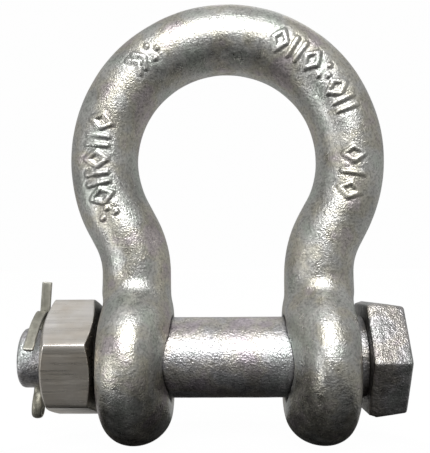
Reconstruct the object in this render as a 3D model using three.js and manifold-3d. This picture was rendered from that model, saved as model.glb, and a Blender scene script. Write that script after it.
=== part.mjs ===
// Bow shackle with a safety bolt, hexagon nut and split cotter pin.
//
// Lengths are in millimetres. The origin is on the bolt's axis, halfway between the two eyes.
// X runs along the bolt, with its head on the +X side and the nut and cotter pin on the -X side.
// Z runs up from the bolt to the crown of the bow, and Y is the thickness of the shackle.

import * as THREE from 'three';
import { ParametricGeometry } from 'three/addons/geometries/ParametricGeometry.js';
import { mergeVertices } from 'three/addons/utils/BufferGeometryUtils.js';
import Module from 'manifold-3d';

// Forged bow
const BAR_RADIUS = 9.6;
const CROWN_RADIUS = 9.95;
const NECK_INNER_HALF = 10.1;     // half widths of the bar along X just above each eye
const NECK_OUTER_HALF = 9.7;
const SEAT_START = 21;            // heights between which those sides draw in to the eye's faces
const SEAT_END = 15;
const BOW_RADIUS = 35.3;          // centre line of the round part of the bow
const BOW_HEIGHT = 56.2;          // bolt axis to the centre of that round part
const BOW_LEAN = 27.4;            // degrees the round part runs on below its own centre
const NECK_RADIUS = 26;           // reverse curve that brings each leg back to vertical
const EYE_RADIUS = 23.7;
const EYE_DROP = 0.4;             // the bolt rides this far above the centre of its holes
const EYE_INNER_HALF = 10.4;      // leg's centre line to the eye's inner face
const EYE_OUTER_HALF = 8.4;       // leg's centre line to the eye's outer face
const EYE_CROWN_HALF = 10.5;      // ellipse that rounds the inner face away from a narrow flat strip
const EYE_INNER_FLAT = 15;        // height of that strip, before the rounded rim starts
const EYE_FLAT_RADIUS = 16.6;     // flat seat on the outer face
const JAW_GAP = 31.8;
const HOLE_RADIUS = 12;
const SEAT_RELIEF = 0.3;          // the leg starts this far inside the eye's faces
const FOOT_RELIEF = 4;            // and its foot is this much further in, at the eye's rim
const FLARE_RADIUS = 8;           // hollow fillet where the round bar spreads into the eye

// Safety bolt
const SHANK_RADIUS = 11.25;
const HEAD_ACROSS_FLATS = 30.6;
const HEAD_THICKNESS = 10.3;
const HEAD_ANGLE = 2;             // degrees a corner stands above the -Y direction
const HEAD_BEVEL = 1.9;           // length along X of the bevel on the head's inner side
const HEAD_BEVEL_DROP = 1.1;
const HEAD_DRAFT = 1.2;           // the corners are this much lower at the outer end
const THREAD_RADIUS = 9.2;
const TIP_RADIUS = 8.35;
const TIP_LENGTH = 8.1;
const END_FLOAT = 3;              // gap between the right eye and the head
const EDGE_BREAK = 0.9;

// Hexagon nut
const NUT_ACROSS_FLATS = 29.7;
const NUT_THICKNESS = 14.3;
const NUT_ANGLE = 19;
const NUT_BORE_RADIUS = 9.6;
const BORE_LEAD = 1.2;            // countersink at each end of the nut's bore
const SEAT_GAP = 1.1;             // left eye to nut
const OUTER_CHAMFER = 1.9;        // length along X of the cone that rounds the corners at each end
const OUTER_CIRCLE = 14.4;        // radius of that cone on the end face
const INNER_CHAMFER = 3;
const INNER_CIRCLE = 13;

// Split cotter pin
const COTTER_RADIUS = 1.42;
const PRONG_RADIUS = 0.9;
const PRONG_OFFSET = 0.65;        // centre of each prong from the pin's split plane
const COTTER_HOLE_RADIUS = 2.3;
const COTTER_GAP = 1.8;           // nut to cotter pin, on the bolt's axis
const COTTER_TILT = 3.5;          // degrees the pin leans in its hole, top towards the nut
const LONG_PRONG_TOP = 21.6;
const SPLIT_HEIGHT = 10.5;        // where the two prongs part
const BENT_PRONG = [[-1.3, 12.2], [-3.4, 13], [-7.8, 10.6], [-11.4, 7], [-13.9, 3.9]];
const EYELET_RADIUS = 1.9;        // centre line of the cotter's eye
const EYELET_WIRE = 1.25;
const EYELET_HEIGHT = -14.1;      // centre of the cotter's eye below the bolt's axis

// Smoothness of the facets
const SECTION_SIDES = 20;
const SWEEP_STEPS = 60;
const ROUND_SIDES = 36;
const WIRE_SIDES = 12;
const RIM_STEPS = 12;
const CONE_SIDES = 48;
const HEXAGON_SIDES = 6;
const PRONG_STEPS = 4;            // steps between two points of a prong

// Overlaps that make joins and cuts clean
const OVERLAP = 1;
const SHANK_SETBACK = 2;          // the plain shank ends this far inside the left eye

const EYE_CENTRE = JAW_GAP / 2 + EYE_INNER_HALF;
const EYE_OUTSIDE = EYE_CENTRE + EYE_OUTER_HALF;
const NUT_INSIDE = -(EYE_OUTSIDE + SEAT_GAP);
const NUT_OUTSIDE = NUT_INSIDE - NUT_THICKNESS;
const COTTER_X = NUT_OUTSIDE - COTTER_GAP - COTTER_RADIUS;
const TIP_END = NUT_OUTSIDE - TIP_LENGTH;
const HEAD_INSIDE = EYE_OUTSIDE + END_FLOAT;
const HEAD_OUTSIDE = HEAD_INSIDE + HEAD_THICKNESS;

const wasm = await Module();
wasm.setup();

// A closed geometry becomes a manifold solid.
function toSolid(geometry) {
  const bare = geometry.clone();
  bare.deleteAttribute('normal');
  bare.deleteAttribute('uv');
  const merged = mergeVertices(bare, 1e-4);
  const mesh = new wasm.Mesh({
    numProp: 3,
    vertProperties: new Float32Array(merged.attributes.position.array),
    triVerts: new Uint32Array(merged.index.array),
  });
  return new wasm.Manifold(mesh);
}

// A manifold solid becomes a geometry again.
function toGeometry(solid) {
  const mesh = solid.getMesh();
  const geometry = new THREE.BufferGeometry();
  geometry.setAttribute('position', new THREE.BufferAttribute(new Float32Array(mesh.vertProperties), 3));
  geometry.setIndex(new THREE.BufferAttribute(new Uint32Array(mesh.triVerts), 1));
  geometry.computeVertexNormals();
  return geometry;
}

// A turned shape about the X axis, from [x, radius] pairs that start and end on the axis.
function turnedAboutX(outline, sides = ROUND_SIDES) {
  const points = outline.map(([x, radius]) => new THREE.Vector2(radius, x));
  if (points[0].y > points[points.length - 1].y) {
    points.reverse();
  }
  const geometry = new THREE.LatheGeometry(points, sides);
  geometry.rotateZ(-Math.PI / 2);
  return toSolid(geometry);
}

function cylinderAlongX(radius, fromX, toX) {
  return turnedAboutX([[fromX, 0], [fromX, radius], [toX, radius], [toX, 0]]);
}

// A cylinder whose end edges are broken by a small chamfer.
function brokenCylinder(radius, fromX, toX) {
  return turnedAboutX([
    [fromX, 0],
    [fromX, radius - EDGE_BREAK],
    [fromX + EDGE_BREAK, radius],
    [toX - EDGE_BREAK, radius],
    [toX, radius - EDGE_BREAK],
    [toX, 0],
  ]);
}

// A six-sided shape about the X axis, from [x, corner radius] pairs that start and end on the axis.
// One corner stands at the given angle, in degrees, above the -Y direction.
function hexagonAboutX(outline, angle) {
  const firstCorner = 30;
  return turnedAboutX(outline, HEXAGON_SIDES).rotate([firstCorner - angle, 0, 0]);
}

// Centre line of one half of the bow, from the crown (0) down to the foot of the leg (1).
// It is an arc, a reverse arc that brings the leg back to vertical, and a straight leg.
class HalfBowLine extends THREE.Curve {
  constructor(side) {
    super();
    this.side = side;
    this.lean = THREE.MathUtils.degToRad(BOW_LEAN);
    const arcFoot = BOW_RADIUS * Math.cos(this.lean);
    const neckShift = NECK_RADIUS * (1 - Math.cos(this.lean));
    this.slopeLength = (arcFoot - neckShift - EYE_CENTRE) / Math.sin(this.lean);
    this.legTop = BOW_HEIGHT - (BOW_RADIUS + NECK_RADIUS) * Math.sin(this.lean)
      - this.slopeLength * Math.cos(this.lean);
    this.arcLength = BOW_RADIUS * (Math.PI / 2 + this.lean);
    this.neckLength = NECK_RADIUS * this.lean;
  }

  getPoint(t, target = new THREE.Vector3()) {
    let along = t * (this.arcLength + this.slopeLength + this.neckLength + this.legTop);
    if (along < this.arcLength) {
      const turn = Math.PI / 2 - along / BOW_RADIUS;
      return target.set(
        this.side * BOW_RADIUS * Math.cos(turn), 0, BOW_HEIGHT + BOW_RADIUS * Math.sin(turn));
    }
    along -= this.arcLength;
    if (along < this.slopeLength) {
      return target.set(
        this.side * (BOW_RADIUS * Math.cos(this.lean) - along * Math.sin(this.lean)),
        0,
        BOW_HEIGHT - BOW_RADIUS * Math.sin(this.lean) - along * Math.cos(this.lean));
    }
    along -= this.slopeLength;
    if (along < this.neckLength) {
      const turn = this.lean - along / NECK_RADIUS;
      return target.set(
        this.side * (EYE_CENTRE + NECK_RADIUS * (1 - Math.cos(turn))),
        0,
        this.legTop + NECK_RADIUS * Math.sin(turn));
    }
    along -= this.neckLength;
    return target.set(this.side * EYE_CENTRE, 0, this.legTop - along);
  }
}

// Half the depth of the bar along Y at a height above the eye's centre: the bar's radius, then a
// hollow fillet out to the eye's circle.
function halfDepth(z, barRadius) {
  const filletY = barRadius + FLARE_RADIUS;
  const filletZ = Math.sqrt((EYE_RADIUS + FLARE_RADIUS) ** 2 - filletY ** 2);
  const meetZ = filletZ * EYE_RADIUS / (EYE_RADIUS + FLARE_RADIUS);
  if (z > filletZ) {
    return barRadius;
  }
  if (z > meetZ) {
    return filletY - Math.sqrt(FLARE_RADIUS ** 2 - (filletZ - z) ** 2);
  }
  const relief = SEAT_RELIEF + FOOT_RELIEF * (1 - THREE.MathUtils.smoothstep(z, 0, meetZ));
  return Math.sqrt(EYE_RADIUS ** 2 - z ** 2) - relief;
}

// The bent bar, from the foot of one leg over the crown to the foot of the other, closed at both ends.
function bentBar() {
  const halves = { '-1': new HalfBowLine(-1), 1: new HalfBowLine(1) };
  const centre = new THREE.Vector3();
  const tangent = new THREE.Vector3();
  const across = new THREE.Vector3();
  const surface = (u, v, target) => {
    const inner = THREE.MathUtils.clamp((v * (SWEEP_STEPS + 2) - 1) / SWEEP_STEPS, 0, 1);
    const side = inner < 0.5 ? -1 : 1;
    const t = Math.abs(inner - 0.5) * 2;
    halves[side].getPoint(t, centre);
    halves[side].getTangent(t, tangent);
    across.set(-tangent.z * side, 0, tangent.x * side);
    const crownShare = THREE.MathUtils.clamp((centre.z - BOW_HEIGHT) / BOW_RADIUS, 0, 1) ** 2;
    const neckShare = THREE.MathUtils.smoothstep(BOW_HEIGHT - centre.z, BOW_RADIUS / 3, BOW_RADIUS);
    const barRadius = THREE.MathUtils.lerp(BAR_RADIUS, CROWN_RADIUS, crownShare);
    const seatShare = THREE.MathUtils.smoothstep(-centre.z, -SEAT_START, -SEAT_END);
    const turn = -2 * Math.PI * u;
    const sideWidth = Math.cos(turn) > 0
      ? THREE.MathUtils.lerp(NECK_OUTER_HALF, EYE_OUTER_HALF - SEAT_RELIEF, seatShare)
      : THREE.MathUtils.lerp(NECK_INNER_HALF, EYE_INNER_HALF - SEAT_RELIEF, seatShare);
    const halfWidth = THREE.MathUtils.lerp(barRadius, sideWidth, neckShare);
    const closing = v === 0 || v === 1 ? 0 : 1;
    target.copy(centre);
    target.addScaledVector(across, closing * halfWidth * Math.cos(turn));
    target.y += closing * halfDepth(centre.z + EYE_DROP, barRadius) * Math.sin(turn);
  };
  return toSolid(new ParametricGeometry(surface, SECTION_SIDES, SWEEP_STEPS + 2));
}

// One eye: a thick disc about the bolt's axis with an elliptical rim. Its inner face is rounded
// towards the front and back of the shackle, and its outer face is flat.
function eye(side) {
  const outline = [[EYE_CENTRE - EYE_INNER_HALF, 0]];
  for (let step = 0; step <= RIM_STEPS; step += 1) {
    const turn = Math.PI * step / RIM_STEPS;
    const inner = turn < Math.PI / 2;
    const half = inner ? EYE_INNER_HALF : EYE_OUTER_HALF;
    const flat = inner ? EYE_INNER_FLAT : EYE_FLAT_RADIUS;
    outline.push([
      EYE_CENTRE - half * Math.cos(turn),
      flat + (EYE_RADIUS - flat) * Math.sin(turn),
    ]);
  }
  outline.push([EYE_OUTSIDE, 0]);
  const disc = turnedAboutX(outline.map(([x, radius]) => [side * x, radius]));
  const middle = side * EYE_CENTRE;
  const crown = new THREE.Shape();
  crown.moveTo(middle, -EYE_RADIUS);
  crown.absellipse(middle, 0, EYE_CROWN_HALF, EYE_RADIUS, -Math.PI / 2, Math.PI / 2, side > 0);
  crown.lineTo(side * (EYE_OUTSIDE + OVERLAP), EYE_RADIUS);
  crown.lineTo(side * (EYE_OUTSIDE + OVERLAP), -EYE_RADIUS);
  const block = new THREE.ExtrudeGeometry(crown, {
    depth: 2 * EYE_RADIUS,
    bevelEnabled: false,
    curveSegments: ROUND_SIDES,
  });
  block.translate(0, 0, -EYE_RADIUS);
  return disc.intersect(toSolid(block));
}

function bowBody() {
  const hole = cylinderAlongX(HOLE_RADIUS, -EYE_OUTSIDE - OVERLAP, EYE_OUTSIDE + OVERLAP);
  const eyes = eye(-1).add(eye(1)).translate([0, 0, -EYE_DROP]);
  return bentBar().add(eyes).subtract(hole.translate([0, 0, -EYE_DROP]));
}

function safetyBolt() {
  const shankEnd = SHANK_SETBACK - EYE_OUTSIDE;
  const shank = brokenCylinder(SHANK_RADIUS, shankEnd, HEAD_INSIDE + EDGE_BREAK + OVERLAP);
  const corner = HEAD_ACROSS_FLATS / Math.sqrt(3);
  const head = hexagonAboutX([
    [HEAD_INSIDE, 0],
    [HEAD_INSIDE, corner - HEAD_BEVEL_DROP],
    [HEAD_INSIDE + HEAD_BEVEL, corner],
    [HEAD_OUTSIDE, corner - HEAD_DRAFT],
    [HEAD_OUTSIDE, 0],
  ], HEAD_ANGLE);
  const thread = cylinderAlongX(THREAD_RADIUS, NUT_OUTSIDE + EDGE_BREAK, shankEnd + OVERLAP);
  const tip = brokenCylinder(TIP_RADIUS, TIP_END, NUT_OUTSIDE + EDGE_BREAK + OVERLAP);
  const hole = new THREE.CylinderGeometry(
    COTTER_HOLE_RADIUS, COTTER_HOLE_RADIUS, 4 * TIP_RADIUS, 2 * WIRE_SIDES);
  hole.rotateX(Math.PI / 2);
  hole.translate(COTTER_X, 0, 0);
  return shank.add(head).add(thread).add(tip).subtract(toSolid(hole));
}

function hexNut() {
  const corner = NUT_ACROSS_FLATS / Math.sqrt(3);
  const block = hexagonAboutX([
    [NUT_OUTSIDE, 0],
    [NUT_OUTSIDE, corner],
    [NUT_INSIDE, corner],
    [NUT_INSIDE, 0],
  ], NUT_ANGLE);
  const cones = turnedAboutX([
    [NUT_OUTSIDE, 0],
    [NUT_OUTSIDE, OUTER_CIRCLE],
    [NUT_OUTSIDE + OUTER_CHAMFER, corner],
    [NUT_INSIDE - INNER_CHAMFER, corner],
    [NUT_INSIDE, INNER_CIRCLE],
    [NUT_INSIDE, 0],
  ], CONE_SIDES);
  const bore = turnedAboutX([
    [NUT_OUTSIDE - OVERLAP, 0],
    [NUT_OUTSIDE - OVERLAP, NUT_BORE_RADIUS + BORE_LEAD + OVERLAP],
    [NUT_OUTSIDE + BORE_LEAD, NUT_BORE_RADIUS],
    [NUT_INSIDE - BORE_LEAD, NUT_BORE_RADIUS],
    [NUT_INSIDE + OVERLAP, NUT_BORE_RADIUS + BORE_LEAD + OVERLAP],
    [NUT_INSIDE + OVERLAP, 0],
  ]);
  return block.intersect(cones).subtract(bore);
}

// One prong of the cotter pin, along [y, z] points in the pin's own middle plane.
function prong(points) {
  const route = new THREE.CatmullRomCurve3(points.map(([y, z]) => new THREE.Vector3(0, y, z)));
  const section = new THREE.Shape().absarc(0, 0, PRONG_RADIUS, 0, 2 * Math.PI);
  return toSolid(new THREE.ExtrudeGeometry(section, {
    extrudePath: route,
    steps: PRONG_STEPS * (points.length - 1),
    bevelEnabled: false,
    curveSegments: WIRE_SIDES,
  }));
}

// The cotter pin about its own middle plane: a closed shank, an eye below and two prongs above.
function cotterPin() {
  const shankFoot = EYELET_HEIGHT + EYELET_RADIUS;
  const shank = new THREE.CylinderGeometry(
    COTTER_RADIUS, COTTER_RADIUS, SPLIT_HEIGHT - shankFoot, WIRE_SIDES);
  shank.rotateX(Math.PI / 2);
  shank.translate(0, 0, (SPLIT_HEIGHT + shankFoot) / 2);
  const longProng = prong([[PRONG_OFFSET, SPLIT_HEIGHT - OVERLAP], [PRONG_OFFSET, LONG_PRONG_TOP]]);
  const bentProng = prong([[-PRONG_OFFSET, SPLIT_HEIGHT - OVERLAP], ...BENT_PRONG]);
  const eyelet = new THREE.TorusGeometry(EYELET_RADIUS, EYELET_WIRE, WIRE_SIDES, 2 * WIRE_SIDES);
  eyelet.rotateY(Math.PI / 2);
  eyelet.translate(0, 0, EYELET_HEIGHT);
  return toSolid(shank).add(longProng).add(bentProng).add(toSolid(eyelet));
}

const galvanised = { color: 0x8f9396, roughness: 0.5, metalness: 0.85 };
const machined = { color: 0xb3b0aa, roughness: 0.35, metalness: 0.9 };
const wire = { color: 0x77756a, roughness: 0.5, metalness: 0.8 };

function addPiece(group, name, solid, look) {
  const mesh = new THREE.Mesh(toGeometry(solid), new THREE.MeshStandardMaterial(look));
  mesh.name = name;
  group.add(mesh);
  return mesh;
}

const shackle = new THREE.Group();
addPiece(shackle, 'bow_body', bowBody(), galvanised);
addPiece(shackle, 'safety_bolt', safetyBolt(), galvanised);
addPiece(shackle, 'hex_nut', hexNut(), machined);
const cotter = addPiece(shackle, 'cotter_pin', cotterPin(), wire);
cotter.position.x = COTTER_X;
cotter.rotation.y = THREE.MathUtils.degToRad(COTTER_TILT);

export default shackle;
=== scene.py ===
import math
import bmesh
import bpy
import numpy as np
from mathutils import Matrix, Vector, noise


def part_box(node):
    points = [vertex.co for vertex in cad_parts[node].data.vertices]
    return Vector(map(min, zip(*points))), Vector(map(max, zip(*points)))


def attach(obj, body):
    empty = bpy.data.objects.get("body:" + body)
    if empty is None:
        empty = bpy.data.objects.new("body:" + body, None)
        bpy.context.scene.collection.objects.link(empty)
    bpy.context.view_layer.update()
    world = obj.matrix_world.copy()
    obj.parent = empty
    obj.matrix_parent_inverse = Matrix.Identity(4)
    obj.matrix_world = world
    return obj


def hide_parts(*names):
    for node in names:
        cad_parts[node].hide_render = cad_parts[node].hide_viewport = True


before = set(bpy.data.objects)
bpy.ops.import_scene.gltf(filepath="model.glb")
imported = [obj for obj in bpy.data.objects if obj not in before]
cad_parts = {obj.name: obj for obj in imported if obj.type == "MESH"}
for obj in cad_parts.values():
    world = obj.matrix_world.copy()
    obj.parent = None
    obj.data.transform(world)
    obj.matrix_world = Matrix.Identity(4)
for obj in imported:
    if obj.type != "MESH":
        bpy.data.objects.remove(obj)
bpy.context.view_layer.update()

# Shapes are worked out in millimetres, in the row frame: X along the bolt, Z up to the crown of the
# bow, Y through the thickness. They are stored in metres.
MM = 0.001
bow_low, bow_high = (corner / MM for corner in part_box("bow_body"))
bolt_low, bolt_high = (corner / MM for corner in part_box("safety_bolt"))
nut_low, nut_high = (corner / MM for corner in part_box("hex_nut"))

# Forged bow
BAR_RADIUS = 9.6
CROWN_RADIUS = 9.95
NECK_INNER_HALF = 10.1            # half widths of the bar along X just above each eye
NECK_OUTER_HALF = 9.5
SEAT_START = 19                   # heights between which those sides draw in to the eye's faces
SEAT_END = 12
BOW_RADIUS = 35.3                 # centre line of the round part of the bow
BOW_HEIGHT = 56.2                 # bolt axis to the centre of that round part
BOW_LEAN = math.radians(27.4)     # how far the round part runs on below its own centre
NECK_RADIUS = 26                  # reverse curve that brings each leg back to vertical
EYE_RADIUS = bow_high.y
EYE_DROP = -bow_low.z - EYE_RADIUS    # the bolt rides this far above the centre of its holes
EYE_TOP_SHARE = 0.91              # height of the eye's upper half as a share of its lower half
EYE_CENTRE = 26.3                 # middle of the jaw to the leg's centre line
EYE_INNER_HALF = 10.4             # leg's centre line to the eye's inner face, and to its outer face
EYE_OUTER_HALF = 8.4
EYE_INNER_FLAT = 15               # radius of the flat on each face, before the rounded rim starts.
EYE_OUTER_FLAT = 16.6             # On the inner face it fades out to the front and back,
BLUNT_FACE = 0.5                  # where one exponent of the rounded rim grows by this
BLUNT_RIM = 0.4                   # and the other shrinks by this
HOLE_RADIUS = 12
HOLE_EDGE = 0.8                   # rounding of the hole's rim
SEAT_RELIEF = 0.3                 # the leg starts this far inside the eye's faces
FOOT_RELIEF = 4                   # and its foot is this much further in, at the eye's rim
FLARE_RADIUS = 8                  # hollow fillet where the round bar spreads into the eye
JOIN_BLEND = 1.2                  # softness of the join between bar and eye
PIT = (21.6, -7.9, 28.8)          # a small pit in the front of the right leg
PIT_RADIUS = 0.55
LONG_DENTS = 13                   # distance between the forging's wide dents, and their depth
LONG_DENT_DEPTH = 0.09
SHORT_DENTS = 3.6                 # the same for the narrow dents
SHORT_DENT_DEPTH = 0.018
BOW_VOXEL = 0.62                  # size of the facets before they are moved on to the surface

# Raised marks on the front of the bar: [degrees round the bow from the crown, offset outwards, shape].
# A shape is a list of lines through [across, along] points.
MARK_HEIGHT = 0.5
MARK_HOLLOW = 0.12                # the metal round a mark is this much lower
STROKE_CORE = 0.25                # half widths of a stroke at its full height and at its foot
STROKE_FOOT = 1.05
FAR_AWAY = 100.0                  # further than any mark reaches
LOZENGE = [[(-2.9, 0), (0, 2.0), (2.9, 0), (0, -2.0), (-2.9, 0)]]
CHEVRONS = [[(-2.6, -1.9), (0, -0.2), (2.6, -1.9)], [(-2.6, 0.3), (0, 2.0), (2.6, 0.3)]]
BARS = [[(-2.8, -1.3), (2.8, -1.3)], [(-2.8, 1.3), (2.8, 1.3)]]
BAR = [[(-3, 0), (3, 0)]]
DOTS = [[(-2.2, -0.9), (-2, -0.9)], [(-0.1, 1), (0.1, 1)], [(2, -0.9), (2.2, -0.9)]]
MARKS = [
    (-74, 0.6, LOZENGE), (-82.5, 0.6, BARS), (-91, 0.6, LOZENGE),
    (-99.5, 0.8, BARS), (-107.5, 0.8, LOZENGE), (-115, 0.8, DOTS),
    (-42.5, 0.4, CHEVRONS), (-34, 0.4, DOTS),
    (25, 0, LOZENGE), (33.5, 0, BARS), (42, 0, LOZENGE),
    (50.5, 0.3, DOTS), (58.5, 0.3, LOZENGE), (66.5, 0.3, BARS),
    (89.5, -0.4, LOZENGE), (98, -0.4, BAR), (106, -0.4, LOZENGE),
]

# Safety bolt
SHANK_RADIUS = 11.25
HEAD_ACROSS_FLATS = 30.6
HEAD_ANGLE = math.radians(2)
HEAD_THICKNESS = 10.3
HEAD_BEVEL = 1.9                  # length along X of the bevel on the head's inner side
HEAD_BEVEL_SHARE = 0.958          # size of the hexagon where that bevel starts, next to full size
HEAD_OUTER_SHARE = 0.932          # and at the head's outer end
HEAD_FILLET = [(-0.6, 0), (-0.15, 0.15), (0, 0.6)]     # [x from the head, extra radius]
HEAD_INNER_EDGE = [(0, -0.03), (0.1, -0.005), (0.3, 0.008)]    # [x from the end, extra share]
HEAD_CREST = [(-0.3, 0.99), (0, 1), (0.3, 0.999)]      # [x from the bevel's top, share]
HEAD_OUTER_EDGE = [(-0.7, 0.005), (-0.3, -0.003), (-0.08, -0.018), (0, -0.04)]
HEAD_RINGS = (0.4, 0.02)          # rings across the outer face, as shares
THREAD_RADIUS = 9.15
THREAD_DEPTH = 0.7                # the nut's thread has the same depth and pitch
THREAD_PITCH = 2.5
THREAD_START = 2                  # the thread reaches full depth this far inside the nut's face
TIP_RADIUS = 8.35
TIP_RINGS = (0.3, 4)              # rings across the flat end
TIP_EDGE = [(0, -1.1), (0.12, -0.6), (0.45, -0.2), (1.0, 0)]    # [x from the end, extra radius]
EDGE_BREAK = 0.9                  # bevels at the ends of the thread and the shank
SHANK_END = -32.7                 # the plain shank ends inside the left eye
COTTER_HOLE_RADIUS = 2.4
COTTER_HOLE_SIDES = 48

# Hexagon nut
NUT_ACROSS_FLATS = 29.7
NUT_ANGLE = math.radians(19)
NUT_BORE_RADIUS = 9.6
BORE_LEAD = 1.2                   # countersink at each end of the bore
OUTER_CHAMFER = 1.6               # length along X of the cone that rounds the corners at each end
OUTER_CIRCLE = 14.4               # radius of that cone on the end face
INNER_CHAMFER = 1.9
INNER_CIRCLE = 13.2
FACE_EDGE = [(0, -0.5), (0.06, -0.12), (0.2, 0)]       # [x from the face, extra radius]
CONE_OVERRUN = (0.4, 0.6)         # the cone runs on past the corner by this [x, radius]
CHAMFER_SOFTNESS = 0.35

# Hexagons of the head and the nut
CORNER_SHARE = 0.99               # radius of the rounded corners as a share of the sharp ones
CORNER_SOFTNESS = 0.5
CORNER_CROWDING = 0.65            # 0 spaces the points evenly, 1 crowds them most at the corners
POINTS_PER_FLAT = 40
RING_SPACING = 0.6
THREAD_RING_SPACING = 0.3

# Cotter pin: a half-round wire folded on its flat side
COTTER_X = -53.32
COTTER_TILT = math.radians(3.5)   # it leans in its hole, top towards the nut
WIRE_HALF_WIDTH = 1.42
WIRE_FLAT = 0.62                  # middle of the wire to its flat side
WIRE_BACK = 0.74                  # depth of the round side, which starts at WIRE_SHOULDER
WIRE_SHOULDER = 0.12
WIRE_CORNER = 0.2
WIRE_BACK_POINTS = 15
WIRE_STEPS = 8                    # steps between two points of WIRE_LINE
WIRE_END_SHARE = 0.9              # width of the cut ends, which broaden to the full wire
WIRE_END_BREAK = 0.15             # over this length

# Middle of the wire as [y, z]: straight prong, down the hole, round the eye, up and the bent prong
WIRE_LINE = [
    (0.7, 21.5), (0.7, 15), (0.7, 9), (0.7, 2), (0.7, -5), (0.75, -9.2), (1.3, -11), (1.85, -12.6),
    (1.95, -14.2), (1.4, -15.8), (0, -16.55), (-1.4, -15.8), (-1.95, -14.2), (-1.85, -12.6),
    (-1.3, -11), (-0.75, -9.2), (-0.7, -5), (-0.7, 2), (-0.7, 8.2), (-0.78, 10.6), (-1.5, 12.3),
    (-3.2, 12.8), (-5.2, 11.9), (-7.8, 10.2), (-11, 7), (-13.6, 3.9),
]

# Camera
CAMERA_AT = (-0.065, -183.873, 27.969)
CAMERA_YAW = math.radians(1.076)
CAMERA_PITCH = math.radians(2.861)
CAMERA_ROLL = math.radians(-0.374)
LENS = 50.86

# Studio, in metres
FLOOR_RADIUS = 2.9
DOME_RADIUS = 3.0
# A black card under and in front of the object, seen only in reflections: painted shade for the shaded
# floor.
SHADE_CARD_RADIUS = 0.075
SHADE_CARD_FORWARD = 0.05


# ---------------------------------------------------------------- shapes

def blended_min(a, b, width):
    share = np.clip(0.5 + 0.5 * (b - a) / width, 0, 1)
    return b + (a - b) * share - width * share * (1 - share)


def blended_max(a, b, width):
    return -blended_min(-a, -b, width)


def smooth_step(value, start, end):
    share = np.clip((value - start) / (end - start), 0, 1)
    return share * share * (3 - 2 * share)


# Where the centre line of half the bow changes from arc to slope, to reverse arc, to straight leg.
ARC_FOOT = np.array([BOW_RADIUS * math.cos(BOW_LEAN), BOW_HEIGHT - BOW_RADIUS * math.sin(BOW_LEAN)])
SLOPE_WAY = np.array([-math.sin(BOW_LEAN), -math.cos(BOW_LEAN)])
SLOPE_OUT = np.array([math.cos(BOW_LEAN), -math.sin(BOW_LEAN)])
SLOPE_LENGTH = (ARC_FOOT[0] - NECK_RADIUS * (1 - math.cos(BOW_LEAN)) - EYE_CENTRE) / math.sin(BOW_LEAN)
SLOPE_FOOT = ARC_FOOT + SLOPE_WAY * SLOPE_LENGTH
LEG_TOP = SLOPE_FOOT[1] - NECK_RADIUS * math.sin(BOW_LEAN)


def nearest_on_bow(x, z):
    """Distance outwards from the bow's centre line, then height of the nearest point on it and its
    length from the crown."""
    round_angle = np.clip(np.arctan2(x, z - BOW_HEIGHT), 0, math.pi / 2 + BOW_LEAN)
    arc_x = BOW_RADIUS * np.sin(round_angle)
    arc_z = BOW_HEIGHT + BOW_RADIUS * np.cos(round_angle)
    arc_length = BOW_RADIUS * (math.pi / 2 + BOW_LEAN)
    way = (x - ARC_FOOT[0]) * SLOPE_WAY[0] + (z - ARC_FOOT[1]) * SLOPE_WAY[1]
    way = np.clip(way, 0, SLOPE_LENGTH)
    slope_x = ARC_FOOT[0] + SLOPE_WAY[0] * way
    slope_z = ARC_FOOT[1] + SLOPE_WAY[1] * way
    centre_x = EYE_CENTRE + NECK_RADIUS
    neck_angle = np.clip(np.arctan2(z - LEG_TOP, centre_x - x), 0, BOW_LEAN)
    neck_x = centre_x - NECK_RADIUS * np.cos(neck_angle)
    neck_z = LEG_TOP + NECK_RADIUS * np.sin(neck_angle)
    leg_z = np.clip(z, 0, LEG_TOP)
    foot_length = arc_length + SLOPE_LENGTH + NECK_RADIUS * BOW_LEAN
    parts = [
        (arc_x, arc_z, np.hypot(x, z - BOW_HEIGHT) - BOW_RADIUS, BOW_RADIUS * round_angle),
        (slope_x, slope_z, (x - slope_x) * SLOPE_OUT[0] + (z - slope_z) * SLOPE_OUT[1], arc_length + way),
        (neck_x, neck_z, NECK_RADIUS - np.hypot(x - centre_x, z - LEG_TOP),
         foot_length - NECK_RADIUS * neck_angle),
        (np.full(x.shape, float(EYE_CENTRE)), leg_z, x - EYE_CENTRE, foot_length + LEG_TOP - leg_z),
    ]
    best = None
    for near_x, near_z, outwards, along in parts:
        gap = np.hypot(x - near_x, z - near_z)
        if best is None:
            best, out, height, length = gap, outwards, near_z, along
            continue
        closer = gap < best
        best = np.where(closer, gap, best)
        out = np.where(closer, outwards, out)
        height = np.where(closer, near_z, height)
        length = np.where(closer, along, length)
    return out, height, length


def half_depth(height, bar_radius):
    """Half of the bar's depth along Y: the bar's radius, then a hollow fillet out to the eye's circle."""
    fillet_y = bar_radius + FLARE_RADIUS
    fillet_z = np.sqrt((EYE_RADIUS + FLARE_RADIUS) ** 2 - fillet_y ** 2)
    meet_z = fillet_z * EYE_RADIUS / (EYE_RADIUS + FLARE_RADIUS)
    fillet = fillet_y - np.sqrt(np.maximum(FLARE_RADIUS ** 2 - (fillet_z - height) ** 2, 0))
    relief = SEAT_RELIEF + FOOT_RELIEF * (1 - smooth_step(height, 0, meet_z))
    disc = np.sqrt(np.maximum(EYE_RADIUS ** 2 - height ** 2, 1)) - relief
    return np.where(height > fillet_z, bar_radius, np.where(height > meet_z, fillet, disc))


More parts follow.
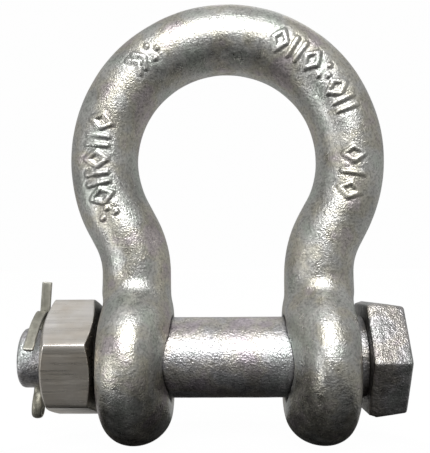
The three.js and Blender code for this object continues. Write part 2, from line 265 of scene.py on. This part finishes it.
def bow_surface(points):
    """Below 0 inside the forging and above 0 outside it, near enough to millimetres."""
    x, y, z = np.abs(points[:, 0]), points[:, 1], points[:, 2]
    out, height, _ = nearest_on_bow(x, z)
    crown_share = np.clip((height - BOW_HEIGHT) / BOW_RADIUS, 0, 1) ** 2
    neck_share = smooth_step(BOW_HEIGHT - height, BOW_RADIUS / 3, BOW_RADIUS)
    seat_share = smooth_step(-height, -SEAT_START, -SEAT_END)
    bar_radius = BAR_RADIUS + (CROWN_RADIUS - BAR_RADIUS) * crown_share
    seat = np.where(out > 0, EYE_OUTER_HALF, EYE_INNER_HALF) - SEAT_RELIEF
    neck = np.where(out > 0, NECK_OUTER_HALF, NECK_INNER_HALF)
    side_width = neck + (seat - neck) * seat_share
    half_width = bar_radius + (side_width - bar_radius) * neck_share
    depth = half_depth((height + EYE_DROP) / EYE_TOP_SHARE, bar_radius)
    bar = (np.hypot(out / half_width, y / depth) - 1) * np.minimum(half_width, depth)
    bar = np.maximum(bar, -z)
    sideways = x - EYE_CENTRE
    rise = z + EYE_DROP
    radius = np.hypot(y, np.where(rise > 0, rise / EYE_TOP_SHARE, rise))
    half = np.where(sideways > 0, EYE_OUTER_HALF, EYE_INNER_HALF)
    inner_flat = EYE_INNER_FLAT * (1 - (y / np.maximum(radius, 1)) ** 4)
    flat = np.where(sideways > 0, EYE_OUTER_FLAT, inner_flat)
    rim = EYE_RADIUS - flat
    past_flat = np.maximum(radius - flat, 0)
    blunt = np.where(sideways > 0, 0, (y / np.maximum(radius, 1)) ** 4)
    across = np.abs(sideways / half) ** (2 + BLUNT_FACE * blunt)
    eye = (across + (past_flat / rim) ** (2 - BLUNT_RIM * blunt) - 1) * np.minimum(half, rim) / 2
    return blended_max(blended_min(bar, eye, JOIN_BLEND), HOLE_RADIUS - np.hypot(y, rise), HOLE_EDGE)


def surface_slope(surface, points, step=0.02):
    slope = np.empty(points.shape)
    for axis in range(3):
        shift = np.zeros(3)
        shift[axis] = step
        slope[:, axis] = (surface(points + shift) - surface(points - shift)) / (2 * step)
    return slope


def settle(surface, points, rounds=4, least_slope=0.05):
    """Moves points straight on to the surface."""
    for _ in range(rounds):
        slope = surface_slope(surface, points)
        steepness = np.maximum((slope ** 2).sum(1), least_slope)
        points = points - slope * (surface(points) / steepness)[:, None]
    return points


def roughness_field(points, period, seed):
    """Smooth noise between about -1 and 1 that repeats its bumps about once a period."""
    # Every seed reads another part of the same noise.
    start = Vector((seed * 7.3, seed * 3.1, seed * 5.7))
    gain = 1.6
    return np.array([noise.noise(Vector(point) / period + start) for point in points]) * gain


def stroke_distance(across, along, line):
    """Distance from each point to the nearest stretch of the line."""
    nearest = np.full(across.shape, FAR_AWAY)
    for start, end in zip(line[:-1], line[1:]):
        reach = np.array(end, float) - np.array(start, float)
        share = ((across - start[0]) * reach[0] + (along - start[1]) * reach[1]) / (reach @ reach)
        share = np.clip(share, 0, 1)
        gap = np.hypot(across - start[0] - reach[0] * share, along - start[1] - reach[1] * share)
        nearest = np.minimum(nearest, gap)
    return nearest


def mark_relief(points):
    """Height of the raised marks, and how near each point is to a mark (1 on it, 0 well away)."""
    out, _, length = nearest_on_bow(np.abs(points[:, 0]), points[:, 2])
    length = np.where(points[:, 0] < 0, -length, length)
    front = points[:, 1] < 0
    relief = np.zeros(len(points))
    nearness = np.zeros(len(points))
    for angle, offset, lines in MARKS:
        across = out - offset
        along = length - BOW_RADIUS * math.radians(angle)
        gap = np.full(len(points), FAR_AWAY)
        for line in lines:
            gap = np.minimum(gap, stroke_distance(across, along, line))
        gap = np.where(front, gap, FAR_AWAY)
        relief = np.maximum(relief, 1 - smooth_step(gap, STROKE_CORE, STROKE_FOOT))
        nearness = np.maximum(nearness, 1 - smooth_step(gap, STROKE_FOOT, 2 * STROKE_FOOT))
    return relief * MARK_HEIGHT, nearness


# ---------------------------------------------------------------- meshes

def read_points(mesh):
    flat = np.empty(len(mesh.vertices) * 3)
    mesh.vertices.foreach_get("co", flat)
    return flat.reshape(-1, 3) / MM


def write_points(mesh, points):
    mesh.vertices.foreach_set("co", (points * MM).ravel())
    mesh.update()


def add_object(name, mesh):
    piece = bpy.data.objects.new(name, mesh)
    bpy.context.scene.collection.objects.link(piece)
    return piece


def apply_modifiers(piece):
    graph = bpy.context.evaluated_depsgraph_get()
    finished = bpy.data.meshes.new_from_object(piece.evaluated_get(graph))
    piece.modifiers.clear()
    piece.data = finished


def even_copy(node, name, voxel, merge_distance=0.002):
    """A copy of a CAD node's mesh with even facets all over."""
    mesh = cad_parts[node].data.copy()
    mesh.materials.clear()
    work = bmesh.new()
    work.from_mesh(mesh)
    bmesh.ops.remove_doubles(work, verts=work.verts, dist=merge_distance * MM)
    work.to_mesh(mesh)
    work.free()
    piece = add_object(name, mesh)
    remesh = piece.modifiers.new("even", "REMESH")
    remesh.mode = "VOXEL"
    remesh.voxel_size = voxel * MM
    apply_modifiers(piece)
    return piece


def refine_marks(mesh, near_enough=0.5):
    """Halves the facets round the raised marks."""
    nearness = mark_relief(read_points(mesh))[1]
    work = bmesh.new()
    work.from_mesh(mesh)
    work.verts.ensure_lookup_table()
    edges = [e for e in work.edges if all(nearness[v.index] > near_enough for v in e.verts)]
    bmesh.ops.subdivide_edges(work, edges=edges, cuts=1, use_grid_fill=True)
    bmesh.ops.triangulate(work, faces=[f for f in work.faces if len(f.verts) > 4])
    work.to_mesh(mesh)
    work.free()


def grid_mesh(name, rows, closed):
    """A skin over rows of points. Open ends are closed by a fan, or the last row joins the first."""
    count, sides, _ = rows.shape
    points = [tuple(point * MM) for point in rows.reshape(-1, 3)]
    faces = []
    for row in range(count if closed else count - 1):
        low, high = row * sides, (row + 1) % count * sides
        for side in range(sides):
            after = (side + 1) % sides
            faces.append((low + side, low + after, high + after, high + side))
    if not closed:
        for row in (0, count - 1):
            points.append(tuple(rows[row].mean(0) * MM))
            for side in range(sides):
                faces.append((row * sides + side, row * sides + (side + 1) % sides, len(points) - 1))
    mesh = bpy.data.meshes.new(name)
    mesh.from_pydata(points, [], faces)
    work = bmesh.new()
    work.from_mesh(mesh)
    bmesh.ops.recalc_face_normals(work, faces=work.faces)
    work.to_mesh(mesh)
    work.free()
    return mesh


def smooth_shade(mesh, sharp_from):
    mesh.shade_smooth()
    mesh.set_sharp_from_angle(angle=math.radians(sharp_from))


def roughen(mesh, waves):
    """Moves a mesh in and out along its normals by noise: [period, height, seed] for each wave."""
    points = read_points(mesh)
    normals = np.empty(len(mesh.vertices) * 3)
    mesh.vertices.foreach_get("normal", normals)
    push = sum(height * roughness_field(points, period, seed) for period, height, seed in waves)
    write_points(mesh, points + normals.reshape(-1, 3) * push[:, None])


def close_points(outline, spacing):
    """The [x, radius] outline with extra points, none further apart than its own spacing."""
    result = []
    for start, end in zip(outline[:-1], outline[1:]):
        steps = max(1, math.ceil(math.dist(start, end) / spacing))
        for step in range(steps):
            share = step / steps
            result.append([start[i] + (end[i] - start[i]) * share for i in range(2)])
    result.append(list(outline[-1]))
    return result


def hexagon_angles(first_corner):
    """Angles round a hexagon, closer together at its corners."""
    share = np.arange(POINTS_PER_FLAT) / POINTS_PER_FLAT
    share = share - CORNER_CROWDING * np.sin(2 * math.pi * share) / (2 * math.pi)
    return np.concatenate([first_corner + (side + share) * math.pi / 3 for side in range(6)])


def hexagon_radius(angles, first_corner, across_flats):
    """Radius of a hexagon with rounded corners at each angle."""
    from_flat = (angles - first_corner) % (math.pi / 3) - math.pi / 6
    corner_circle = across_flats / math.sqrt(3) * CORNER_SHARE
    return blended_min(across_flats / 2 / np.cos(from_flat), corner_circle, CORNER_SOFTNESS)


def thread_groove(x, angles):
    """Depth of a right-handed thread's groove at one x and many angles."""
    phase = x / THREAD_PITCH + angles / (2 * math.pi)
    return THREAD_DEPTH * np.abs(2 * (phase % 1) - 1)


def ring(x, radius, angles):
    """A row of points round the X axis. Angles run from the front, -Y, up towards +Z."""
    radius = radius * np.ones(angles.shape)
    return np.stack([np.full(angles.shape, x), -radius * np.cos(angles), radius * np.sin(angles)], 1)


def corner_cone(across_flats, x_face, into, length, face_radius):
    """The outline of the cone that rounds the corners at one end of a hexagon, face first.
    into is 1 where the hexagon lies towards +X of that face, and -1 where it lies towards -X."""
    corner = across_flats / math.sqrt(3)
    outline = [[x_face + into * along, face_radius + extra] for along, extra in FACE_EDGE]
    outline += [[x_face + into * length, corner]]
    outline += [[x_face + into * (length + CONE_OVERRUN[0]), corner + CONE_OVERRUN[1]]]
    return outline


def bow_piece():
    """The CAD forging moved on to its smooth surface, then marked, pitted and dented."""
    piece = even_copy("bow_body", "forged_bow", BOW_VOXEL)
    mesh = piece.data
    refine_marks(mesh)
    points = settle(bow_surface, read_points(mesh))
    slope = surface_slope(bow_surface, points)
    normals = slope / np.linalg.norm(slope, axis=1)[:, None]
    relief, nearness = mark_relief(points)
    push = relief - MARK_HOLLOW * nearness
    push -= PIT_RADIUS * np.exp(-((points - np.array(PIT)) ** 2).sum(1) / PIT_RADIUS ** 2)
    push += LONG_DENT_DEPTH * roughness_field(points, LONG_DENTS, 1)
    push += SHORT_DENT_DEPTH * roughness_field(points, SHORT_DENTS, 2)
    write_points(mesh, points + normals * push[:, None])
    smooth_shade(mesh, sharp_from=60)
    return piece


def cross_hole_cutter():
    """A closed tube along Z, for the cotter's hole through the tip."""
    angles = np.arange(COTTER_HOLE_SIDES) / COTTER_HOLE_SIDES * 2 * math.pi
    x = COTTER_X + COTTER_HOLE_RADIUS * np.cos(angles)
    y = COTTER_HOLE_RADIUS * np.sin(angles)
    rows = [np.stack([x, y, np.full(angles.shape, z)], 1) for z in (-2 * TIP_RADIUS, 2 * TIP_RADIUS)]
    return add_object("cutter", grid_mesh("cutter", np.array(rows), False))


def bolt_piece():
    """Tip, thread, shank and head as one skin, with the cotter's hole cut through the tip."""
    tip_end, head_out = bolt_low.x, bolt_high.x
    head_in = head_out - HEAD_THICKNESS
    thread_end = nut_low.x + EDGE_BREAK
    outline = [[tip_end, radius] for radius in TIP_RINGS]
    outline += [[tip_end + along, TIP_RADIUS + extra] for along, extra in TIP_EDGE]
    outline += [[thread_end, TIP_RADIUS]]
    outline += [[x, THREAD_RADIUS] for x in np.arange(thread_end + 0.1, SHANK_END, THREAD_RING_SPACING)]
    outline += [
        [SHANK_END, THREAD_RADIUS],
        [SHANK_END, SHANK_RADIUS - EDGE_BREAK],
        [SHANK_END + EDGE_BREAK, SHANK_RADIUS],
    ]
    outline += [[head_in + along, SHANK_RADIUS + extra] for along, extra in HEAD_FILLET]
    angles = hexagon_angles(HEAD_ANGLE)
    rows = []
    for x, radius in close_points(outline, RING_SPACING):
        threaded = smooth_step(x, thread_end, nut_low.x + THREAD_START) * (x < SHANK_END)
        rows.append(ring(x, radius - thread_groove(x, angles) * threaded, angles))
    # Each ring of the head is a share of the full hexagon.
    shares = [[head_in + along, HEAD_BEVEL_SHARE + extra] for along, extra in HEAD_INNER_EDGE]
    shares += [[head_in + HEAD_BEVEL + along, share] for along, share in HEAD_CREST]
    shares += [[head_out + along, HEAD_OUTER_SHARE + extra] for along, extra in HEAD_OUTER_EDGE]
    shares += [[head_out, share] for share in HEAD_RINGS]
    hexagon = hexagon_radius(angles, HEAD_ANGLE, HEAD_ACROSS_FLATS)
    rows += [ring(x, hexagon * share, angles) for x, share in close_points(shares, RING_SPACING)]
    piece = add_object("bolt_with_head", grid_mesh("bolt_with_head", np.array(rows), False))
    roughen(piece.data, [(6, 0.03, 4)])
    cutter = cross_hole_cutter()
    cut = piece.modifiers.new("hole", "BOOLEAN")
    cut.operation = "DIFFERENCE"
    cut.solver = "EXACT"
    cut.object = cutter
    apply_modifiers(piece)
    bpy.data.objects.remove(cutter)
    smooth_shade(piece.data, sharp_from=38)
    return piece


def nut_piece():
    """Outside, both faces and the threaded bore as one closed skin."""
    outer, inner = nut_low.x, nut_high.x
    outline = corner_cone(NUT_ACROSS_FLATS, outer, 1, OUTER_CHAMFER, OUTER_CIRCLE)
    outline += corner_cone(NUT_ACROSS_FLATS, inner, -1, INNER_CHAMFER, INNER_CIRCLE)[::-1]
    bore_rings = np.arange(inner - BORE_LEAD, outer + BORE_LEAD, -THREAD_RING_SPACING)
    outline += [[inner, NUT_BORE_RADIUS + BORE_LEAD], [inner - BORE_LEAD, NUT_BORE_RADIUS]]
    outline += [[x, NUT_BORE_RADIUS] for x in bore_rings]
    outline += [[outer + BORE_LEAD, NUT_BORE_RADIUS], [outer, NUT_BORE_RADIUS + BORE_LEAD]]
    angles = hexagon_angles(NUT_ANGLE)
    hexagon = hexagon_radius(angles, NUT_ANGLE, NUT_ACROSS_FLATS)
    rows = []
    for x, radius in close_points(outline, THREAD_RING_SPACING):
        edge = blended_min(hexagon, radius, CHAMFER_SOFTNESS)
        threaded = radius < NUT_BORE_RADIUS + 0.01
        rows.append(ring(x, edge + thread_groove(x, angles) * threaded, angles))
    piece = add_object("threaded_nut", grid_mesh("threaded_nut", np.array(rows), True))
    roughen(piece.data, [(7, 0.02, 6)])
    smooth_shade(piece.data, sharp_from=35)
    return piece


def curve_through(points, steps):
    """Catmull-Rom curve through [y, z] points."""
    line = np.array(points, float)
    line = np.vstack([2 * line[0] - line[1], line, 2 * line[-1] - line[-2]])
    result = []
    for index in range(1, len(line) - 2):
        before, start, end, after = line[index - 1:index + 3]
        for step in range(steps):
            t = step / steps
            result.append(0.5 * (
                2 * start + (end - before) * t
                + (2 * before - 5 * start + 4 * end - after) * t ** 2
                + (3 * start - before - 3 * end + after) * t ** 3))
    result.append(line[-2])
    return np.array(result)


def wire_section():
    """Half-round section of the cotter's wire as [across, out] points: round back, then flat side."""
    turn = np.linspace(0, math.pi, WIRE_BACK_POINTS)
    inset = WIRE_HALF_WIDTH - WIRE_CORNER
    section = [(WIRE_HALF_WIDTH * math.cos(a), WIRE_SHOULDER - WIRE_BACK * math.sin(a)) for a in turn]
    section += [(-WIRE_HALF_WIDTH, WIRE_FLAT - WIRE_CORNER), (-inset, WIRE_FLAT), (0, WIRE_FLAT)]
    section += [(inset, WIRE_FLAT), (WIRE_HALF_WIDTH, WIRE_FLAT - WIRE_CORNER)]
    return np.array(section)


def wire_row(section, middle, way):
    """The section set across the wire's line, at one [y, z] point of it."""
    y = middle[0] + way[1] * section[:, 1]
    z = middle[1] - way[0] * section[:, 1]
    return np.stack([section[:, 0], y, z], 1)


def cotter_piece():
    """One half-round wire: long prong, down the hole, round the eye, up the hole and the bent prong."""
    section = wire_section()
    line = curve_through(WIRE_LINE, WIRE_STEPS)
    ways = np.gradient(line, axis=0)
    ways /= np.linalg.norm(ways, axis=1)[:, None]
    rows = [wire_row(section, middle, way) for middle, way in zip(line, ways)]
    rows[0] += WIRE_END_BREAK * np.array([0, *ways[0]])
    rows[-1] -= WIRE_END_BREAK * np.array([0, *ways[-1]])
    cut_ends = [wire_row(section * WIRE_END_SHARE, line[end], ways[end]) for end in (0, -1)]
    rows = np.array([cut_ends[0], *rows, cut_ends[1]])
    tilt = Matrix.Rotation(COTTER_TILT, 3, "Y")
    rows = rows @ np.array(tilt).T + np.array([COTTER_X, 0, 0])
    piece = add_object("cotter_wire", grid_mesh("cotter_wire", rows, False))
    roughen(piece.data, [(2.5, 0.02, 7)])
    smooth_shade(piece.data, sharp_from=40)
    return piece


# ---------------------------------------------------------------- finishes

class Finish:
    """A metal built from nodes. Its inputs are set by number or by another node's output."""

    def __init__(self, name):
        self.material = bpy.data.materials.new(name)
        self.material.use_nodes = True
        self.tree = self.material.node_tree
        self.shader = self.tree.nodes["Principled BSDF"]
        self.place = self.tree.nodes.new("ShaderNodeTexCoord").outputs["Object"]

    def add(self, kind, settings=None, **inputs):
        node = self.tree.nodes.new(kind)
        for key, value in (settings or {}).items():
            setattr(node, key, value)
        for key, value in inputs.items():
            self.connect(node.inputs[key], value)
        return node

    def connect(self, socket, value):
        if isinstance(value, bpy.types.NodeSocket):
            self.tree.links.new(value, socket)
        else:
            socket.default_value = value

    def noise(self, period, detail=3, stretch=(1, 1, 1), shift=0):
        """Noise from 0 to 1 with bumps about a period apart, in millimetres, on stretched axes."""
        scale = [1 / (MM * period * part) for part in stretch]
        mapping = self.add("ShaderNodeMapping", Vector=self.place, Location=(shift,) * 3, Scale=scale)
        node = self.add("ShaderNodeTexNoise", Vector=mapping.outputs[0], Scale=1.0, Detail=detail)
        return node.outputs[0]

    def ramp(self, value, stops):
        """Colours at stops from 0 to 1."""
        node = self.add("ShaderNodeValToRGB", Fac=value)
        elements = node.color_ramp.elements
        while len(elements) < len(stops):
            elements.new(0.5)
        for element, (position, colour) in zip(elements, stops):
            element.position = position
            element.color = (*colour, 1) if len(colour) == 3 else (colour[0],) * 3 + (1,)
        return node.outputs[0]

    def mix(self, share, first, second, blend="MIX"):
        node = self.add("ShaderNodeMix", {"data_type": "RGBA", "blend_type": blend})
        self.connect(node.inputs[0], share)
        self.connect(node.inputs[6], first)
        self.connect(node.inputs[7], second)
        return node.outputs[2]

    def span(self, value, low, high, start=0.0, end=1.0):
        """A value from start to end spread over low to high."""
        node = self.add("ShaderNodeMapRange", Value=value)
        for key, number in (("From Min", start), ("From Max", end), ("To Min", low), ("To Max", high)):
            node.inputs[key].default_value = number
        return node.outputs[0]

    def bump(self, height, depth, strength=1.0, before=None):
        node = self.add("ShaderNodeBump", Height=height, Distance=depth * MM, Strength=strength)
        if before is not None:
            self.connect(node.inputs["Normal"], before)
        return node.outputs[0]


def multiply(finish, share, tone, value, stops):
    """The tone multiplied, by a share, by the greys or tints that a value picks from stops."""
    return finish.mix(share, tone, finish.ramp(value, stops), "MULTIPLY")


def painted_crevice_shade(finish, tone):
    """Painted shade: darkens the tone by ambient occlusion in crevices, in narrow gaps and along the
    contact lines between parts.
    """
    # A broad painted shade over crevices, then a narrow one where parts meet.
    for reach, middle in ((5, 0.85), (1.6, 0.5)):
        gap = finish.add("ShaderNodeAmbientOcclusion", {"samples": 8}, Distance=reach * MM)
        stops = [(0.0, (0.05,)), (0.5, (middle,)), (0.8, (1.0,))]
        tone = multiply(finish, 1.0, tone, gap.outputs["AO"], stops)
    return tone


def edges_and_hollows(finish, low, high):
    """0 in hollows, 1 on raised edges."""
    geometry = finish.add("ShaderNodeNewGeometry")
    return finish.span(geometry.outputs["Pointiness"], 0.0, 1.0, low, high)


def zinc(name, base, grain_depth, roughness, rough_from=None):
    """Hot-dip zinc: mottled grey with faint tints and a fine orange-peel skin. It is coarser and
    darker beyond rough_from, in millimetres along X."""
    finish = Finish(name)
    cloud = finish.noise(9, 4)
    patch = finish.noise(10, 3, shift=31)
    speck = finish.noise(0.7, 5, shift=7)
    light = tuple(part * 1.14 for part in base)
    dark = tuple(part * 0.80 for part in base)
    tone = finish.ramp(cloud, [(0.3, dark), (0.5, base), (0.7, light)])
    green, plain, yellow, pink = (0.89, 0.96, 0.91), (1, 1, 1), (1.0, 0.97, 0.86), (0.97, 0.88, 0.93)
    tone = multiply(finish, 0.9, tone, patch, [(0.32, green), (0.46, plain), (0.56, yellow), (0.66, pink)])
    tone = multiply(finish, 0.8, tone, speck, [(0.36, (0.62,)), (0.5, (1.0,)), (0.66, (1.12,))])
    # Painted shade in the hollows, which are darkened; raised edges are lightened as wear.
    edges = edges_and_hollows(finish, 0.44, 0.58)
    tone = multiply(finish, 0.7, tone, edges, [(0.15, (0.6,)), (0.4, (1.0,)), (0.95, (1.12,))])
    finish.shader.inputs["Metallic"].default_value = 1.0
    gloss = finish.span(finish.noise(2.6, 4, shift=3), roughness - 0.09, roughness + 0.12, 0.3, 0.7)
    finish.connect(finish.shader.inputs["Roughness"], gloss)
    grain = finish.bump(finish.noise(0.46, 2, shift=11), grain_depth)
    skin = finish.bump(finish.noise(1.4, 2, shift=19), 0.5 * grain_depth, before=grain)
    if rough_from is not None:
        along = finish.add("ShaderNodeSeparateXYZ", Vector=finish.place).outputs["X"]
        beyond = finish.span(along, 0.0, 1.0, rough_from * MM, (rough_from + 1) * MM)
        coarse = finish.mix(beyond, (0.5, 0.5, 0.5, 1), finish.noise(1.9, 3, shift=29))
        skin = finish.bump(coarse, 1.3 * grain_depth, before=skin)
        tone = finish.mix(beyond, tone, finish.mix(1.0, tone, (0.78, 0.77, 0.76, 1), "MULTIPLY"))
    finish.connect(finish.shader.inputs["Normal"], skin)
    # Crevices and the gaps between parts get painted shade.
    finish.connect(finish.shader.inputs["Base Color"], painted_crevice_shade(finish, tone))
    return finish.material


def machined(name):
    """Bright machined steel with fine scratches and brownish stains. Its upper faces are painted lighter
    and its lower faces painted darker and browner: painted light and shade.
    """
    finish = Finish(name)
    scratch = finish.noise(0.5, 4, stretch=(22, 1, 1), shift=5)
    broad = finish.noise(1.7, 3, stretch=(16, 1, 1), shift=9)
    stain = finish.noise(8, 3, shift=23)
    brown, middle, bright = (0.62, 0.575, 0.51), (0.70, 0.675, 0.63), (0.76, 0.745, 0.72)
    tone = finish.ramp(stain, [(0.35, brown), (0.5, middle), (0.65, bright)])
    tone = multiply(finish, 0.6, tone, broad, [(0.35, (0.78,)), (0.62, (1.1,))])
    # Painted light and shade by height: the upper faces are lifted, the lower faces darkened and browned.
    rise = finish.add("ShaderNodeSeparateXYZ", Vector=finish.place).outputs["Z"]
    upper = finish.span(rise, 0.0, 1.0, 3 * MM, 8 * MM)
    painted_light_and_shade = finish.mix(upper, (0.93, 0.875, 0.80, 1), (1.1, 1.08, 1.08, 1))
    tone = finish.mix(1.0, tone, painted_light_and_shade, "MULTIPLY")
    edges = edges_and_hollows(finish, 0.48, 0.62)
    tone = finish.mix(edges, tone, (0.86, 0.85, 0.83, 1))
    # Crevices and the gaps between parts get painted shade.
    finish.connect(finish.shader.inputs["Base Color"], painted_crevice_shade(finish, tone))
    finish.shader.inputs["Metallic"].default_value = 1.0
    finish.connect(finish.shader.inputs["Roughness"], finish.span(scratch, 0.24, 0.42, 0.3, 0.7))
    fine = finish.bump(scratch, 0.012)
    finish.connect(finish.shader.inputs["Normal"], finish.bump(broad, 0.03, before=fine))
    return finish.material


def dull_wire(name):
    """Dull olive-grey wire with drawing lines along it."""
    finish = Finish(name)
    line = finish.noise(0.35, 4, stretch=(1, 1, 14), shift=2)
    cloud = finish.noise(2.4, 3, shift=8)
    tone = finish.ramp(cloud, [(0.35, (0.19, 0.18, 0.14)), (0.65, (0.34, 0.33, 0.27))])
    tone = multiply(finish, 0.5, tone, line, [(0.38, (0.65,)), (0.6, (1.15,))])
    edges = edges_and_hollows(finish, 0.5, 0.66)
    tone = finish.mix(edges, tone, (0.66, 0.65, 0.60, 1))
    # Crevices and the gaps between parts get painted shade.
    finish.connect(finish.shader.inputs["Base Color"], painted_crevice_shade(finish, tone))
    finish.shader.inputs["Metallic"].default_value = 0.85
    finish.connect(finish.shader.inputs["Roughness"], finish.span(line, 0.34, 0.55, 0.3, 0.7))
    finish.connect(finish.shader.inputs["Normal"], finish.bump(line, 0.03))
    return finish.material


# ---------------------------------------------------------------- studio

def flat_disc(name, sides, radius, place):
    bpy.ops.mesh.primitive_circle_add(vertices=sides, radius=radius, fill_type="NGON", location=place)
    disc = bpy.context.object
    disc.name = name
    return disc


def white_surround():
    """A pale floor under the eyes and a white dome, which only the camera sees, and a black card at the
    floor's height, which the camera doesn't see: painted shade that the metal reflects in place of the
    floor shaded by the object."""
    floor_height = bow_low.z * MM
    floor = flat_disc("studio_floor", 96, FLOOR_RADIUS, (0, 0, floor_height))
    bpy.ops.mesh.primitive_uv_sphere_add(segments=48, ring_count=24, radius=DOME_RADIUS)
    dome = bpy.context.object
    dome.name = "studio_dome"
    for piece, glow, diffuse in ((floor, 0.985, 0.02), (dome, 0.99, 0.0)):
        material = bpy.data.materials.new(piece.name)
        material.use_nodes = True
        shader = material.node_tree.nodes["Principled BSDF"]
        shader.inputs["Base Color"].default_value = (diffuse, diffuse, diffuse, 1)
        shader.inputs["Roughness"].default_value = 1.0
        shader.inputs["Specular IOR Level"].default_value = 0.0
        shader.inputs["Emission Color"].default_value = (1, 1, 1, 1)
        shader.inputs["Emission Strength"].default_value = glow
        piece.data.materials.append(material)
        piece.visible_glossy = False
        piece.visible_diffuse = False
        piece.visible_shadow = False
    # Painted shade: a black card that only reflections see darkens the undersides.
    shade_card = flat_disc("floor_shade_card", 64, SHADE_CARD_RADIUS, (0, -SHADE_CARD_FORWARD, floor_height))
    shade_card_black = bpy.data.materials.new("floor_shade_card")
    shade_card_black.use_nodes = True
    shade_card_black.node_tree.nodes["Principled BSDF"].inputs["Base Color"].default_value = (0, 0, 0, 1)
    shade_card.data.materials.append(shade_card_black)
    shade_card.visible_camera = False
    shade_card.visible_shadow = False


def light_by_height(tree, height, stops):
    """Grey levels from straight down (0) over eye level (0.5) to straight up (1)."""
    ramp = tree.nodes.new("ShaderNodeValToRGB")
    tree.links.new(height, ramp.inputs[0])
    elements = ramp.color_ramp.elements
    while len(elements) < len(stops):
        elements.new(0.5)
    for element, (position, level) in zip(elements, stops):
        element.position = position
        element.color = (level, level, level * 0.99, 1)
    return ramp.outputs[0]


def surroundings():
    """Light from all round: bright overhead, even at eye level, dark below in front of the object."""
    world = bpy.data.worlds.new("studio")
    bpy.context.scene.world = world
    world.use_nodes = True
    tree = world.node_tree
    way = tree.nodes.new("ShaderNodeTexCoord").outputs["Generated"]
    parts = tree.nodes.new("ShaderNodeSeparateXYZ")
    tree.links.new(way, parts.inputs[0])
    shares = []
    for axis in ("Z", "Y"):
        share = tree.nodes.new("ShaderNodeMapRange")
        share.inputs["From Min"].default_value = -1
        tree.links.new(parts.outputs[axis], share.inputs["Value"])
        shares.append(share.outputs[0])
    height, behind = shares
    front = [
        (0.0, 0.05), (0.06, 0.008), (0.2, 0.035), (0.34, 0.25), (0.5, 0.39), (0.75, 0.46), (1.0, 0.64)]
    back = [(0.0, 0.12), (0.15, 0.5), (0.5, 0.38), (0.85, 0.46), (1.0, 0.64)]
    mix = tree.nodes.new("ShaderNodeMix")
    mix.data_type = "RGBA"
    tree.links.new(behind, mix.inputs[0])
    tree.links.new(light_by_height(tree, height, front), mix.inputs[6])
    tree.links.new(light_by_height(tree, height, back), mix.inputs[7])
    tree.links.new(mix.outputs[2], tree.nodes["Background"].inputs["Color"])


def soft_box(name, place, size, power):
    """A rectangular light at place, in metres, turned to the middle of the object."""
    light = bpy.data.lights.new(name, "AREA")
    light.shape = "RECTANGLE"
    light.size, light.size_y = size
    light.energy = power
    holder = bpy.data.objects.new(name, light)
    bpy.context.scene.collection.objects.link(holder)
    holder.location = place
    target = Vector((0, 0, BOW_HEIGHT / 2 * MM))
    holder.rotation_euler = (target - Vector(place)).to_track_quat("-Z", "Y").to_euler()
    holder.visible_camera = False


def camera():
    """The photograph's view: a little above the bolt, close in, looking slightly up."""
    holder = bpy.data.objects.new("camera", bpy.data.cameras.new("camera"))
    bpy.context.scene.collection.objects.link(holder)
    level = Vector((math.cos(CAMERA_YAW), math.sin(CAMERA_YAW), 0))
    ahead = Vector((
        -math.cos(CAMERA_PITCH) * math.sin(CAMERA_YAW),
        math.cos(CAMERA_PITCH) * math.cos(CAMERA_YAW),
        math.sin(CAMERA_PITCH)))
    upright = level.cross(ahead)
    right = math.cos(CAMERA_ROLL) * level + math.sin(CAMERA_ROLL) * upright
    up = math.cos(CAMERA_ROLL) * upright - math.sin(CAMERA_ROLL) * level
    turn = Matrix((right, up, -ahead)).transposed().to_4x4()
    holder.matrix_world = Matrix.Translation(Vector(CAMERA_AT) * MM) @ turn
    holder.data.lens = LENS
    holder.data.clip_start = 0.01
    holder.data.clip_end = 20
    bpy.context.scene.camera = holder


def dress(piece, body, node, material):
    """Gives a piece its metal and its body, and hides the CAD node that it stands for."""
    piece.data.materials.clear()
    piece.data.materials.append(material)
    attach(piece, body)
    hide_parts(node)


dress(bow_piece(), "bow", "bow_body",
      zinc("zinc_forging", (0.57, 0.565, 0.545), 0.14, 0.335))
dress(bolt_piece(), "bolt", "safety_bolt",
      zinc("zinc_bolt", (0.56, 0.55, 0.565), 0.19, 0.35, rough_from=36))
dress(nut_piece(), "nut", "hex_nut", machined("machined_nut"))
dress(cotter_piece(), "cotter", "cotter_pin", dull_wire("cotter_wire"))
white_surround()
surroundings()
soft_box("key_light", (0.0, -0.61, 0.52), (0.44, 0.33), 4.8)
soft_box("side_light", (-0.42, -0.32, -0.05), (0.16, 0.16), 0.4)
soft_box("back_light", (0.12, 0.60, 0.62), (0.4, 0.3), 0.35)
camera()
bpy.context.scene.view_settings.view_transform = "Standard"
